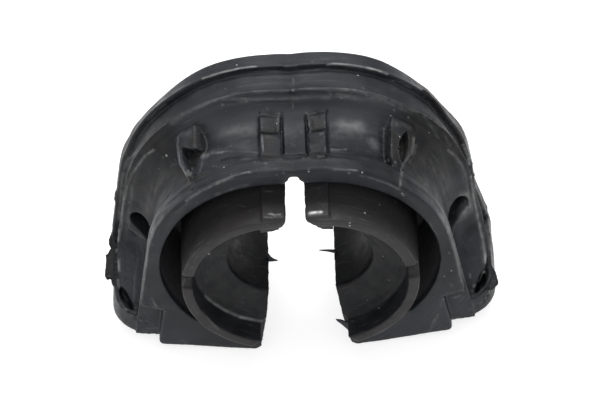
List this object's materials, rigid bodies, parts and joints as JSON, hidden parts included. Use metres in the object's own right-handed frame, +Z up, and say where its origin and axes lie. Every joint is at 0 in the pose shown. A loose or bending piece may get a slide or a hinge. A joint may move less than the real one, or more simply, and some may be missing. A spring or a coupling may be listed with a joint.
{
  "type": "sway bar bushing",
  "caption": "Split rubber bushing that opens at the foot to go over a sway bar, with a grooved arched body and a collar standing in a crescent hollow.",
  "frame": {"origin": "centre of the base of the bounding box, under the split and midway along the bore", "axes": "+X across the two halves, +Y along the bore from the collar to the plain back face, +Z up from the feet to the bridge"},
  "size_m": [0.0842, 0.0362, 0.0626],
  "materials": {
    "black_rubber": "satin moulded rubber, dark grey-black"
  },
  "bodies": {
    "root": {"bushing": "black_rubber"}
  },
  "joints": []
}
